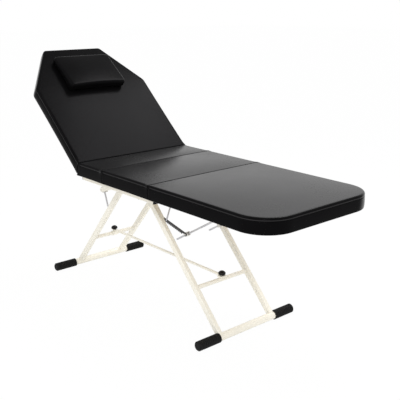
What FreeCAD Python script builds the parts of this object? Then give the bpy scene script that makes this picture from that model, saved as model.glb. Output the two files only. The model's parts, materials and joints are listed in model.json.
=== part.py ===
import FreeCAD, Part
import math
import os

# Folding massage table: four upholstered pads on plywood boards, a welded seat frame,
# two folding leg frames joined by a tie rod, and sliding stays under backrest and legrest.
# Millimetres. X runs from the head end to the foot end, Z is up. The table is laid out with
# X = 0 at the crease between backrest and seat, and is moved at the end so that the origin
# is the bottom centre of its box.

V = FreeCAD.Vector
ALONG = V(1, 0, 0)
ACROSS = V(0, 1, 0)
UP = V(0, 0, 1)
SIDES = (-1, 1)
ARC_MIDDLE = 1 - math.sqrt(0.5)

# Upholstered top
seat_top = 625.5
pad_width = 616.0
pad_thickness = 59.5
rear_seat_length = 183.0
front_seat_length = 328.0
legrest_length = 635.5
legrest_corner = 130.0
legrest_lift = 25.0
backrest_length = 699.0
backrest_shoulder = 454.0
backrest_top_width = 313.0
backrest_corner = 18.0
shoulder_ease = 3.6
backrest_thickness = 51.0
backrest_angle = 41.0
pad_crown = 6.0
pad_edge = 14.0
pad_tuck = 4.0
pad_waist = 3.0
seam_dip = 4.0
tucked_drop = 11.2
end_crown = 1.5
pad_gap = 0.8
board_thickness = 10.0
board_inset = 8.0

# Headrest pillow
pillow_length = 212.0
pillow_width = 314.0
pillow_low_thickness = 50.0
pillow_high_thickness = 18.0
pillow_start = 406.0
pillow_edge = 10.0
pillow_brow_thickness = 9.0
pillow_nose_reach = 4.0
pillow_nose_thickness = 44.0
pillow_front_thickness = 30.0
PILLOW_SIDE = 0.25
strip_length = 60.0
strip_width = 180.0
strip_thickness = 1.5
strip_gap = 0.2

# Seat frame
frame_tube = 25.0
frame_wall = 1.5
frame_round = 2.5
frame_inset = 30.0
plug_flange = 3.0
plug_depth = 12.0
plug_clearance = 0.2
screw_head_radius = 5.0
screw_head_height = 3.0
screw_inset = 60.0

# Butt hinges
hinge_drop = 6.0
hinge_length = 60.0
hinge_spread = 340.0
knuckle_radius = 5.5
knuckle_gap = 0.3
knuckle_share = 20.0
leaf_thickness = 2.5
leaf_length = 50.0
leaf_drop = 17.0
hinge_pin_radius = 2.5
pin_head_radius = 4.0
pin_head_height = 2.0
pin_clearance = 0.05

# Leg frames
leg_pivot_drop = 24.0
head_pivot_x = 87.0
foot_pivot_x = 290.0
head_foot_x = -340.0
foot_foot_x = 762.0
head_rail_spread = 250.0
foot_rail_spread = 294.0
rail_width = 25.0
rail_depth = 20.0
rail_wall = 1.5
rail_round = 3.0
least_round = 0.2
rail_top_reach = 14.0
bush_radius = 6.0
leg_pin_radius = 4.0
leg_pin_head_radius = 7.0
leg_pin_head = 3.0
leg_pin_tail = 2.0
bracket_wall = 3.0
bracket_length = 40.0
bracket_depth = 41.0
bracket_clearance = 0.8
mid_bar_height = 181.0
mid_bar_radius = 9.0
foot_bar_radius = 16.0
foot_bar_wall = 2.0
foot_length = 540.0
sleeve_length = 112.0
sleeve_radius = 20.0
sleeve_end = 5.0
sleeve_chamfer = 4.0
sleeve_rib_count = 11
sleeve_groove = 1.2
sleeve_clearance = 0.1
foot_flat = 0.8

# Tie rod and knobs
tie_radius = 6.0
tie_overhang = 18.0
saddle_radius = 12.0
saddle_length = 30.0
saddle_clearance = 0.3
saddle_weld = 1.5
tab_length = 26.0
stud_radius = 3.0
stud_clearance = 0.3
knob_radius = 15.5
knob_height = 20.0
knob_neck_radius = 9.0
knob_neck_height = 3.0
knob_rim_height = 8.0
knob_seat_gap = 0.3
tie_flat = 1.5

# Sliding stays and their guides
stay_radius = 4.0
stay_spread = 185.0
stay_tail = 86.0
stay_offset = 4.1
strut_tail = 80.0
strut_offset = -0.5
clip_drop = 16.0
clip_wall = 3.0
clip_length = 40.0
clip_gap = 0.5
eye_radius = 9.0
eye_thickness = 9.0
clip_pin_radius = 3.0
clip_pin_head = 2.0
clip_pin_head_radius = 5.0
backrest_clip_reach = 295.0
backrest_guide_x = -133.7
backrest_guide_drop = 125.4
legrest_clip_reach = 282.0
legrest_guide_x = 492.8
legrest_guide_drop = 192.5
stay_guide_length = 30.0
stay_guide_height = 25.0
stay_play = 3.7
strut_guide_length = 18.0
strut_guide_height = 17.0
strut_play = 1.5
guide_width = 17.0
guide_bore_radius = 5.0
guide_pin_radius = 4.0
guide_gap = 1.0
arm_width = 22.0
arm_thickness = 5.0
flange_length = 44.0
flange_width = 24.0
flange_thickness = 3.0
strut_arm_top_x = 205.0
rack_start_x = 344.0
rack_start_drop = 158.0
rack_width = 15.0
rack_thickness = 4.0
rack_teeth = 10
rack_tooth_depth = 7.0
hanger_radius = 3.5
hanger_top_x = 432.0
rack_bolt_radius = 3.0
rack_bolt_head_radius = 6.0
rack_bolt_head = 3.0

# Levels and lines that several pieces share
underside = seat_top - pad_thickness
frame_bottom = underside - frame_tube
hinge_z = underside - hinge_drop
hinge_reach = seat_top - hinge_z
half_width = pad_width / 2
line_two = rear_seat_length
line_three = rear_seat_length + front_seat_length
foot_end = line_three + legrest_length
back_hinge = V(-hinge_reach * math.tan(math.radians(backrest_angle / 2)), 0, hinge_z)
leg_hinge = V(line_three, 0, hinge_z)
flat_crease = 2 * back_hinge.x
backrest_underside = seat_top - backrest_thickness
frame_head = back_hinge.x + hinge_drop
frame_foot = leg_hinge.x - hinge_drop
rail_outer = half_width - frame_inset
rail_inner = rail_outer - frame_tube
leg_pivot_z = frame_bottom - leg_pivot_drop
foot_z = sleeve_radius - foot_flat
stay_y = stay_spread / 2
arm_y = stay_y + guide_width / 2 + guide_gap
cheek_reach = rail_depth / 2 + bracket_clearance + bracket_wall
head_cheek = head_rail_spread / 2 - cheek_reach

nodes = {}


def box(x0, x1, y0, y1, z0, z1):
    return Part.makeBox(x1 - x0, y1 - y0, z1 - z0, V(x0, y0, z0))


def rod(start, end, radius):
    return Part.makeCylinder(radius, (end - start).Length, start, end - start)


def cross_rod(x, z, y0, y1, radius):
    return Part.makeCylinder(radius, y1 - y0, V(x, y0, z), ACROSS)


def span(side, inner, outer):
    """Lowest and highest y of a piece between two distances from the middle, on one side."""
    return sorted((side * inner, side * outer))


def lay_along(shape, start, end):
    """Turns a shape drawn along +X so that it runs from start towards end in the XZ plane."""
    rise = math.degrees(math.atan2(end.z - start.z, end.x - start.x))
    shape.rotate(V(0, 0, 0), ACROSS, -rise)
    shape.translate(V(start.x, 0, start.z))
    return shape


def flat_bar(start, end, width, y0, y1):
    length = math.hypot(end.x - start.x, end.z - start.z)
    return lay_along(box(0, length, y0, y1, -width / 2, width / 2), start, end)


def eased(bar, radius, along):
    """Rounds the long edges of a straight bar that runs along a direction."""
    long_edges = [e for e in bar.Edges if abs(e.tangentAt(e.FirstParameter).dot(along)) > 0.99]
    return bar.makeFillet(radius, long_edges)


def lean_back(shape):
    """Turns a backrest piece, drawn lying flat, up to the angle it rests at."""
    shape.rotate(back_hinge, ACROSS, backrest_angle)
    return shape


def beyond(hinge, tilt, side, clear):
    """The space past a plane through a hinge axis, tilted from upright, and a clearance before it."""
    near, far = sorted((side * foot_end, -side * clear))
    space = box(hinge.x + near, hinge.x + far, -pad_width, pad_width, 0, 2 * seat_top)
    space.rotate(hinge, ACROSS, tilt)
    return space


def on_rail(pivot, foot, z):
    """The point of a leg rail's centre line at height z."""
    share = (z - foot.z) / (pivot.z - foot.z)
    return foot + (pivot - foot) * share


# Pads and boards

def pad_section(x, half, bottom, top, crown):
    """Closed outline of a pad across the table: flat below, drawn-in sides, rounded edge, crown."""
    shoulder = half - pad_tuck / 2
    right = [
        V(x, half - pad_tuck, bottom),
        V(x, half, (bottom + top - pad_edge) / 2),
        V(x, shoulder, top - pad_edge),
        V(x, shoulder - ARC_MIDDLE * pad_edge, top - ARC_MIDDLE * pad_edge),
        V(x, shoulder - pad_edge, top),
    ]
    left = [V(p.x, -p.y, p.z) for p in right]
    edges = [
        Part.LineSegment(left[0], right[0]).toShape(),
        Part.Arc(right[0], right[1], right[2]).toShape(),
        Part.Arc(right[2], right[3], right[4]).toShape(),
        Part.Arc(right[4], V(x, 0, top + crown), left[4]).toShape(),
        Part.Arc(left[4], left[3], left[2]).toShape(),
        Part.Arc(left[2], left[1], left[0]).toShape(),
    ]
    return Part.Wire(edges)


def edge_drop(distance, edge):
    """How far a rounded top edge lies below the top, at a distance in from the end."""
    if distance >= edge:
        return 0.0
    return edge - math.sqrt(edge ** 2 - (edge - distance) ** 2)


def pad_loft(stations, bottom):
    """A pad lofted along X through stations of (x, half width, drop of the top edge)."""
    sections = []
    for x, half, drop in stations:
        crown = max(end_crown, pad_crown * (1 - drop / pad_edge))
        sections.append(pad_section(x, half, bottom, seat_top - drop, crown))
    return Part.makeLoft(sections, True, True)


def board_plate(points, bottom):
    """A plywood board cut to a plan outline of (x, y) points."""
    outline = [V(x, y, bottom) for x, y in points]
    face = Part.Face(Part.makePolygon(outline + outline[:1]))
    return face.extrude(UP * board_thickness)


def round_edge(face_plate, radius):
    """Rounds the upright edges at the foot end of a board."""
    upright = [e for e in face_plate.Edges if abs(e.tangentAt(e.FirstParameter).z) > 0.9]
    last = max(e.Vertexes[0].X for e in upright)
    return face_plate.makeFillet(radius, [e for e in upright if e.Vertexes[0].X > last - 1])


def seat_pads():
    middle_rear = rear_seat_length / 2
    seam = pad_gap / 2
    rear_stations = [
        (2 * back_hinge.x, half_width, tucked_drop),
        (0, half_width, edge_drop(pad_edge / 2, pad_edge)),
        (pad_edge, half_width, 0),
        (middle_rear, half_width - pad_waist / 2, 0),
        (line_two - pad_edge, half_width, 0),
        (line_two - seam, half_width, seam_dip),
    ]
    board_half = half_width - board_inset
    board_rear = board_plate(
        [(2 * back_hinge.x, -board_half), (line_two - board_inset, -board_half),
         (line_two - board_inset, board_half), (2 * back_hinge.x, board_half)],
        underside)
    board_rear = board_rear.cut(beyond(back_hinge, backrest_angle / 2, -1, board_inset))
    pad_rear = pad_loft(rear_stations, underside).cut(beyond(back_hinge, backrest_angle / 2, -1, seam))
    nodes["seat_board_rear"] = board_rear
    nodes["seat_pad_rear"] = pad_rear.cut(board_rear)

    groove = hinge_reach * math.tan(math.radians(legrest_lift / 2))
    front_stations = [
        (line_two + seam, half_width, seam_dip),
        (line_two + pad_edge, half_width, 0),
        ((line_two + line_three) / 2, half_width - pad_waist, 0),
        (line_three - groove - pad_edge, half_width, 0),
        (line_three - groove, half_width, edge_drop(pad_edge / 2, pad_edge)),
        (line_three + seam, half_width, tucked_drop),
    ]
    board_front = board_plate(
        [(line_two + board_inset, -board_half), (line_three, -board_half),
         (line_three, board_half), (line_two + board_inset, board_half)],
        underside)
    board_front = board_front.cut(beyond(leg_hinge, -legrest_lift / 2, 1, board_inset))
    pad_front = pad_loft(front_stations, underside).cut(beyond(leg_hinge, -legrest_lift / 2, 1, seam))
    nodes["seat_board_front"] = board_front
    nodes["seat_pad_front"] = pad_front.cut(board_front)


def legrest_pad():
    groove = hinge_reach * math.tan(math.radians(legrest_lift / 2))
    corner_x = foot_end - legrest_corner
    corner_half = half_width - legrest_corner
    stations = [
        (line_three - pad_gap / 2, half_width, tucked_drop),
        (line_three + groove, half_width, edge_drop(pad_edge / 2, pad_edge)),
        (line_three + groove + pad_edge, half_width, 0),
        ((line_three + corner_x) / 2, half_width - pad_waist, 0),
    ]
    for turn in (0, 22, 40, 55, 67, 77, 85, 90):
        x = corner_x + legrest_corner * math.sin(math.radians(turn))
        half = corner_half + legrest_corner * math.cos(math.radians(turn))
        stations.append((x, half, edge_drop(foot_end - x, pad_edge)))
    board_half = half_width - board_inset
    board = board_plate(
        [(line_three, -board_half), (foot_end - board_inset, -board_half),
         (foot_end - board_inset, board_half), (line_three, board_half)],
        underside)
    board = round_edge(board, legrest_corner - board_inset)
    board = board.cut(beyond(leg_hinge, legrest_lift / 2, -1, board_inset))
    pad = pad_loft(stations, underside).cut(beyond(leg_hinge, legrest_lift / 2, -1, pad_gap / 2))
    nodes["legrest_board"] = board
    nodes["legrest_pad"] = pad.cut(board)


def backrest_half(reach):
    """Half width of the backrest at a distance from the crease: straight, then tapering."""
    if reach <= backrest_shoulder:
        return half_width
    taper = (half_width - backrest_top_width / 2) / (backrest_length - backrest_shoulder)
    return half_width - taper * (reach - backrest_shoulder)


def backrest_pad():
    corner = backrest_corner
    reaches = [
        (backrest_length, backrest_half(backrest_length) - corner),
        (backrest_length - ARC_MIDDLE * corner, backrest_half(backrest_length) - ARC_MIDDLE * corner),
        (backrest_length - corner, backrest_half(backrest_length - corner)),
        (backrest_shoulder + corner, backrest_half(backrest_shoulder + corner)),
        (backrest_shoulder, half_width - shoulder_ease),
        (backrest_shoulder - corner, half_width),
        (backrest_shoulder / 2, half_width - pad_waist),
        (pad_edge, half_width),
        (0, half_width),
    ]
    stations = []
    for reach, half in reaches:
        ends = min(backrest_length - reach, reach + pad_edge / 2)
        stations.append((flat_crease - reach, half, edge_drop(ends, pad_edge)))
    stations.append((back_hinge.x, half_width, tucked_drop))
    top_half = backrest_top_width / 2 - board_inset - corner / 2
    head = flat_crease - backrest_length + board_inset
    shoulder = flat_crease - backrest_shoulder
    board = board_plate(
        [(head, -top_half), (shoulder, -half_width + board_inset), (back_hinge.x, -half_width + board_inset),
         (back_hinge.x, half_width - board_inset), (shoulder, half_width - board_inset), (head, top_half)],
        backrest_underside)
    board = board.cut(beyond(back_hinge, -backrest_angle / 2, 1, board_inset))
    pad = pad_loft(stations, backrest_underside).cut(beyond(back_hinge, -backrest_angle / 2, 1, pad_gap / 2))
    pad = pad.cut(board)
    strip = pillow_strip(seat_top - pad_edge, pillow_floor() - strip_thickness - strip_gap).cut(pad)
    batten_end = back_hinge.x - hinge_drop
    batten = box(batten_end - leaf_length - pad_edge, batten_end, -rail_inner, rail_inner,
                 underside, backrest_underside)
    nodes["backrest_board"] = lean_back(board)
    nodes["backrest_pad"] = lean_back(pad)
    nodes["backrest_loop_strip"] = lean_back(strip)
    nodes["hinge_batten"] = lean_back(batten)


# Headrest pillow, a wedge that lies on the upper end of the backrest

def pillow_floor():
    return seat_top + pad_crown + 2 * strip_thickness + 2 * strip_gap


def pillow_strip(bottom, top):
    middle = flat_crease - pillow_start - pillow_length / 2
    return box(middle - strip_length / 2, middle + strip_length / 2,
               -strip_width / 2, strip_width / 2, bottom, top)


def pillow_section(x, half, height):
    floor = pillow_floor()
    low = PILLOW_SIDE * height
    right = [
        V(x, half - pillow_edge, floor),
        V(x, half, floor + low),
        V(x, half - pillow_edge, floor + 2 * low),
    ]
    left = [V(p.x, -p.y, p.z) for p in right]
    edges = [
        Part.LineSegment(left[0], right[0]).toShape(),
        Part.Arc(right[0], right[1], right[2]).toShape(),
        Part.Arc(right[2], V(x, 0, floor + height), left[2]).toShape(),
        Part.Arc(left[2], left[1], left[0]).toShape(),
    ]
    return Part.Wire(edges)


def pillow():
    start = flat_crease - pillow_start
    half = pillow_width / 2
    low = pillow_low_thickness
    high = pillow_high_thickness
    sections = [
        pillow_section(start - pillow_length, half - pillow_edge, pillow_brow_thickness),
        pillow_section(start - pillow_length + pillow_edge, half, high),
        pillow_section(start - pillow_length / 2, half - pad_waist, (low + high) / 2 + pad_crown / 2),
        pillow_section(start - 2 * pillow_edge, half, low),
        pillow_section(start - pillow_nose_reach, half, pillow_nose_thickness),
        pillow_section(start, half - pillow_edge, pillow_front_thickness),
    ]
    nodes["headrest_pillow"] = lean_back(Part.makeLoft(sections, True, True))
    hook = pillow_strip(pillow_floor() - strip_thickness, pillow_floor())
    nodes["pillow_hook_strip"] = lean_back(hook)


# Seat frame of welded square tube

def seat_frame():
    bore = frame_tube - 2 * frame_wall
    bore_round = max(frame_round - frame_wall, least_round)
    rails = []
    plugs = []
    for side in SIDES:
        y0, y1 = span(side, rail_inner, rail_outer)
        outer = box(frame_head, frame_foot, y0, y1, frame_bottom, underside)
        inner = box(frame_head, frame_foot, y0 + frame_wall, y1 - frame_wall,
                    frame_bottom + frame_wall, underside - frame_wall)
        rails.append(eased(outer, frame_round, ALONG).cut(eased(inner, bore_round, ALONG)))
        for end, out in ((frame_head, -1), (frame_foot, 1)):
            x0, x1 = sorted((end, end + out * plug_flange))
            flange = eased(box(x0, x1, y0, y1, frame_bottom, underside), frame_round, ALONG)
            x0, x1 = sorted((end, end - out * plug_depth))
            inset = frame_wall + plug_clearance
            spigot = box(x0, x1, y0 + inset, y1 - inset, frame_bottom + inset, underside - inset)
            plugs.append(flange.fuse(eased(spigot, bore_round, ALONG)).removeSplitter())
    nodes["seat_side_rails"] = Part.makeCompound(rails)
    nodes["rail_end_plugs"] = Part.makeCompound(plugs)
    half = frame_tube / 2
    tubes = []
    for x in (frame_head + half, head_pivot_x, foot_pivot_x, frame_foot - half):
        outer = box(x - half, x + half, -rail_inner, rail_inner, frame_bottom, underside)
        inner = box(x - bore / 2, x + bore / 2, -rail_inner, rail_inner,
                    frame_bottom + frame_wall, underside - frame_wall)
        tubes.append(eased(outer, frame_round, ACROSS).cut(eased(inner, bore_round, ACROSS)))
    nodes["seat_cross_tubes"] = Part.makeCompound(tubes)
    screws = []
    for x in (screw_inset, line_two - screw_inset / 2, line_two + screw_inset, line_three - screw_inset):
        for side in SIDES:
            y = side * (rail_inner + rail_outer) / 2
            screws.append(Part.makeSphere(screw_head_radius, V(x, y, frame_bottom), V(0, 0, -1), 0, 90)
                          .common(box(x - frame_tube, x + frame_tube, y - frame_tube, y + frame_tube,
                                      frame_bottom - screw_head_height, frame_bottom)))
    nodes["board_screws"] = Part.makeCompound(screws)


# Butt hinges: a fixed leaf on the frame's end tube, a swinging leaf under the board

def knuckle(hinge, y, y0, y1, radius):
    return cross_rod(hinge.x, hinge.z, y + y0, y + y1, radius)


def butt_hinges(name, hinge, out, leaned):
    """A pair of hinges. out is the X direction from the frame towards the swinging board."""
    half = hinge_length / 2
    part = knuckle_share / 2
    clear = knuckle_radius + knuckle_gap
    fixed, moving, pins = [], [], []
    for side in SIDES:
        y = side * hinge_spread / 2
        tube_face = hinge.x - out * hinge_drop
        x0, x1 = sorted((tube_face, tube_face + out * leaf_thickness))
        leaf = box(x0, x1, y - half, y + half, hinge.z - leaf_drop, hinge.z)
        leaf = leaf.cut(knuckle(hinge, y, -part - knuckle_gap, part + knuckle_gap, clear))
        for y0, y1 in ((-half, -part - knuckle_gap), (part + knuckle_gap, half)):
            leaf = leaf.fuse(knuckle(hinge, y, y0, y1, knuckle_radius))
        bore = knuckle(hinge, y, -half, half, hinge_pin_radius + pin_clearance)
        fixed.append(leaf.cut(bore).removeSplitter())
        x0, x1 = sorted((hinge.x, hinge.x + out * leaf_length))
        swing = box(x0, x1, y - half, y + half, underside - leaf_thickness, underside)
        for y0, y1 in ((-half - 1, -part), (part, half + 1)):
            swing = swing.cut(knuckle(hinge, y, y0, y1, clear))
        swing = swing.fuse(knuckle(hinge, y, -part, part, knuckle_radius))
        swing = swing.cut(bore).removeSplitter()
        moving.append(lean_back(swing) if leaned else swing)
        pin = knuckle(hinge, y, -half, half, hinge_pin_radius)
        pin = pin.fuse(knuckle(hinge, y, half, half + pin_head_height, pin_head_radius))
        pins.append(pin.removeSplitter())
    nodes[name + "_hinge_fixed_leaves"] = Part.makeCompound(fixed)
    nodes[name + "_hinge_swing_leaves"] = Part.makeCompound(moving)
    nodes[name + "_hinge_pins"] = Part.makeCompound(pins)


# Folding leg frames

def foot_sleeve(x, side):
    """Ribbed rubber sleeve, closed at its outer end, with a small flat where it meets the floor."""
    end = foot_length / 2
    start = end - sleeve_length
    bar_end = end - sleeve_end
    bore = foot_bar_radius + sleeve_clearance
    points = [V(0, start, bore), V(0, start, sleeve_radius)]
    pitch = (sleeve_length - sleeve_chamfer) / (sleeve_rib_count + 1)
    for rib in range(sleeve_rib_count):
        middle = start + pitch * (rib + 1)
        quarter = pitch / 4
        points.append(V(0, middle - quarter, sleeve_radius))
        points.append(V(0, middle - quarter / 2, sleeve_radius - sleeve_groove))
        points.append(V(0, middle + quarter / 2, sleeve_radius - sleeve_groove))
        points.append(V(0, middle + quarter, sleeve_radius))
    points += [V(0, end - sleeve_chamfer, sleeve_radius), V(0, end, sleeve_radius - sleeve_chamfer)]
    points += [V(0, end, 0), V(0, bar_end, 0), V(0, bar_end, bore)]
    face = Part.Face(Part.makePolygon(points + points[:1]))
    sleeve = face.revolve(V(0, 0, 0), ACROSS, 360)
    if side < 0:
        sleeve.rotate(V(0, 0, 0), UP, 180)
    sleeve.translate(V(x, 0, foot_z))
    return sleeve.cut(box(x - foot_length, x + foot_length, -foot_length, foot_length, -sleeve_radius, 0))


def leg_frame(name, pivot, foot, rail_spread, pin_tail):
    """Two rails with bushes at their pivots, a mid bar, a foot bar and its two sleeves.

    The pivot pins pass the inner cheeks of their brackets by the pin tail.
    """
    away = (pivot - foot).normalize()
    top = pivot + away * rail_top_reach
    rails, bushes, brackets, pins = [], [], [], []
    foot_hull = cross_rod(foot.x, foot.z, -foot_length / 2, foot_length / 2, foot_bar_radius)
    middle = rail_spread / 2
    inner = middle - rail_depth / 2
    outer = middle + rail_depth / 2
    for side in SIDES:
        y0, y1 = span(side, inner, outer)
        rail = eased(flat_bar(foot, top, rail_width, y0, y1), rail_round, away)
        hollow = flat_bar(foot, top - away * rail_wall, rail_width - 2 * rail_wall,
                          y0 + rail_wall, y1 - rail_wall)
        hollow = eased(hollow, max(rail_round - rail_wall, least_round), away)
        rail = rail.cut(hollow).cut(foot_hull)
        rails.append(rail.cut(cross_rod(pivot.x, pivot.z, y0, y1, bush_radius)))
        bush = cross_rod(pivot.x, pivot.z, y0, y1, bush_radius)
        bushes.append(bush.cut(cross_rod(pivot.x, pivot.z, y0, y1, leg_pin_radius + pin_clearance)))
        cheek_in = middle - cheek_reach
        cheek_out = middle + cheek_reach
        y0, y1 = span(side, cheek_in, cheek_out)
        channel = box(pivot.x - bracket_length / 2, pivot.x + bracket_length / 2, y0, y1,
                      frame_bottom - bracket_depth, frame_bottom)
        y0, y1 = span(side, cheek_in + bracket_wall, cheek_out - bracket_wall)
        channel = channel.cut(box(pivot.x - bracket_length, pivot.x + bracket_length, y0, y1,
                                  frame_bottom - 2 * bracket_depth, frame_bottom - bracket_wall))
        y0, y1 = span(side, cheek_in - pin_tail, cheek_out)
        brackets.append(channel.cut(cross_rod(pivot.x, pivot.z, y0, y1, leg_pin_radius + pin_clearance)))
        pin = cross_rod(pivot.x, pivot.z, y0, y1, leg_pin_radius)
        y0, y1 = span(side, cheek_out, cheek_out + leg_pin_head)
        pins.append(pin.fuse(cross_rod(pivot.x, pivot.z, y0, y1, leg_pin_head_radius)).removeSplitter())
    mid = on_rail(pivot, foot, mid_bar_height)
    foot_bar = cross_rod(foot.x, foot.z, -foot_length / 2 + sleeve_end, foot_length / 2 - sleeve_end,
                         foot_bar_radius)
    foot_bar = foot_bar.cut(cross_rod(foot.x, foot.z, -foot_length / 2, foot_length / 2,
                                      foot_bar_radius - foot_bar_wall))
    nodes[name + "_leg_rails"] = Part.makeCompound(rails)
    nodes[name + "_leg_bushes"] = Part.makeCompound(bushes)
    nodes[name + "_leg_brackets"] = Part.makeCompound(brackets)
    nodes[name + "_leg_pivot_pins"] = Part.makeCompound(pins)
    nodes[name + "_mid_bar"] = cross_rod(mid.x, mid.z, -inner, inner, mid_bar_radius)
    nodes[name + "_foot_bar"] = foot_bar
    nodes[name + "_foot_sleeves"] = Part.makeCompound([foot_sleeve(foot.x, side) for side in SIDES])


# Tie rod between the leg frames, with a screw knob at each end

def knob_body(x, z):
    """Turned mushroom knob: a neck, a flared rim and a domed top."""
    rim = knob_neck_height + knob_rim_height
    side = [V(0, 0, 0), V(knob_neck_radius, 0, 0), V(knob_neck_radius, 0, knob_neck_height),
            V(knob_radius, 0, knob_neck_height + knob_rim_height / 4), V(knob_radius, 0, rim)]
    dome = (knob_height - rim + knob_radius ** 2 / (knob_height - rim)) / 2
    half_turn = math.asin(knob_radius / dome) / 2
    dome_mid = V(dome * math.sin(half_turn), 0, knob_height - dome + dome * math.cos(half_turn))
    edges = [Part.LineSegment(a, b).toShape() for a, b in zip(side, side[1:])]
    edges.append(Part.Arc(side[-1], dome_mid, V(0, 0, knob_height)).toShape())
    edges.append(Part.LineSegment(V(0, 0, knob_height), side[0]).toShape())
    knob = Part.Face(Part.Wire(edges)).revolve(V(0, 0, 0), UP, 360)
    knob.translate(V(x, 0, z))
    return knob


def tie_rod(head_mid, foot_mid):
    axis_z = head_mid.z + saddle_radius + tie_radius - saddle_weld
    body = rod(V(head_mid.x - tie_overhang, 0, axis_z), V(foot_mid.x + tie_overhang, 0, axis_z), tie_radius)
    half = saddle_length / 2
    flat_half = tie_overhang + least_round
    saddle = cross_rod(head_mid.x, head_mid.z, -half, half, saddle_radius)
    saddle = saddle.cut(cross_rod(head_mid.x, head_mid.z, -half, half, mid_bar_radius + saddle_clearance))
    tab = box(foot_mid.x - tab_length / 2, foot_mid.x + tab_length / 2, -half, half,
              foot_mid.z + mid_bar_radius + saddle_clearance, axis_z)
    tab = tab.cut(body)
    flat_z = axis_z + tie_flat
    knob_z = flat_z + knob_seat_gap
    stud_foot = {"head": head_mid.z + mid_bar_radius + 2 * saddle_clearance,
                 "foot": foot_mid.z + mid_bar_radius + 2 * saddle_clearance}
    for name, x in (("head", head_mid.x), ("foot", foot_mid.x)):
        hole = rod(V(x, 0, 0), V(x, 0, seat_top), stud_radius + stud_clearance)
        body = body.cut(hole)
        body = body.cut(box(x - flat_half, x + flat_half, -half, half, flat_z, seat_top))
        if name == "head":
            saddle = saddle.cut(hole.common(box(x - half, x + half, -half, half, head_mid.z, seat_top)))
        else:
            tab = tab.cut(hole)
        nodes[name + "_knob"] = knob_body(x, knob_z)
        nodes[name + "_knob_stud"] = rod(V(x, 0, stud_foot[name]), V(x, 0, knob_z), stud_radius)
    nodes["tie_rod"] = body
    nodes["tie_rod_saddle"] = saddle.cut(body)
    nodes["tie_rod_tab"] = tab


# Stays: rods pinned under a board that slide through swivelling guide blocks

def guide_slot(guide, reach, length, y, play):
    """The way through a guide block: the rod's bore, drawn out by the play to both sides of the centre."""
    near = guide - reach * length
    far = guide + reach * length
    slot = flat_bar(near, far, 2 * play, y - guide_bore_radius, y + guide_bore_radius)
    for shift in (-play, play):
        aside = V(-reach.z, 0, reach.x) * shift
        start = near + aside
        end = far + aside
        slot = slot.fuse(rod(V(start.x, y, start.z), V(end.x, y, end.z), guide_bore_radius))
    return slot


def stay_set(name, pivot, guide, tail, offset, length, height, play, carrier):
    """Two rods, their guide blocks and the pins at their upper ends.

    At rest a rod passes its guide's centre at the offset, which keeps it inside the slot over the
    whole tilt. A guide's trunnion ends at the outer face of its carrier.
    """
    reach = (guide - pivot).normalize()
    aim = guide - V(-reach.z, 0, reach.x) * offset
    reach = (aim - pivot).normalize()
    end = aim + reach * tail
    rods, blocks, pins = [], [], []
    for side in SIDES:
        y = side * stay_y
        stay = rod(V(pivot.x, y, pivot.z), V(end.x, y, end.z), stay_radius)
        half = eye_thickness / 2
        stay = stay.fuse(cross_rod(pivot.x, pivot.z, y - half, y + half, eye_radius))
        hole = cross_rod(pivot.x, pivot.z, y - half, y + half, clip_pin_radius + pin_clearance)
        rods.append(stay.cut(hole).removeSplitter())
        block = flat_bar(guide - reach * (length / 2), guide + reach * (length / 2), height,
                         y - guide_width / 2, y + guide_width / 2)
        block = block.cut(guide_slot(guide, reach, length, y, play))
        y0, y1 = span(side, stay_y + guide_width / 2, carrier)
        trunnion = cross_rod(guide.x, guide.z, y0, y1, guide_pin_radius)
        blocks.append(block.fuse(trunnion).removeSplitter())
        half += clip_gap + clip_wall
        pin = cross_rod(pivot.x, pivot.z, y - half, y + half, clip_pin_radius)
        head = cross_rod(pivot.x, pivot.z, y + half, y + half + clip_pin_head, clip_pin_head_radius)
        pins.append(pin.fuse(head).removeSplitter())
    nodes[name + "s"] = Part.makeCompound(rods)
    nodes[name + "_guides"] = Part.makeCompound(blocks)
    nodes[name + "_pins"] = Part.makeCompound(pins)


def stay_clips(name, pivot, board_bottom, leaned):
    """Folded clips screwed under a board, drawn lying flat; each holds one stay's pin."""
    clips = []
    for side in SIDES:
        y = side * stay_y
        gap = eye_thickness / 2 + clip_gap
        half = gap + clip_wall
        clip = box(pivot.x - clip_length / 2, pivot.x + clip_length / 2, y - half, y + half,
                   board_bottom - clip_wall, board_bottom)
        for y0, y1 in ((y - half, y - gap), (y + gap, y + half)):
            ear = box(pivot.x - eye_radius, pivot.x + eye_radius, y0, y1, pivot.z, board_bottom - clip_wall)
            clip = clip.fuse(ear).fuse(cross_rod(pivot.x, pivot.z, y0, y1, eye_radius))
        clip = clip.cut(cross_rod(pivot.x, pivot.z, y - half, y + half, clip_pin_radius + pin_clearance))
        clip = clip.removeSplitter()
        clips.append(lean_back(clip) if leaned else clip)
    nodes[name + "_clips"] = Part.makeCompound(clips)


def pivot_arms(name, guide, pivot, outer):
    """Flat bars with round bored ends, from the pivot pins of the head legs to the stays' guides."""
    arms = []
    for side in SIDES:
        y0, y1 = span(side, outer - arm_thickness, outer)
        arm = flat_bar(guide, pivot, arm_width, y0, y1)
        for end in (guide, pivot):
            arm = arm.fuse(cross_rod(end.x, end.z, y0, y1, arm_width / 2))
        for end, pin_radius in ((guide, guide_pin_radius), (pivot, leg_pin_radius)):
            arm = arm.cut(cross_rod(end.x, end.z, y0, y1, pin_radius + pin_clearance))
        arms.append(arm.removeSplitter())
    nodes[name] = Part.makeCompound(arms)


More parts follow.
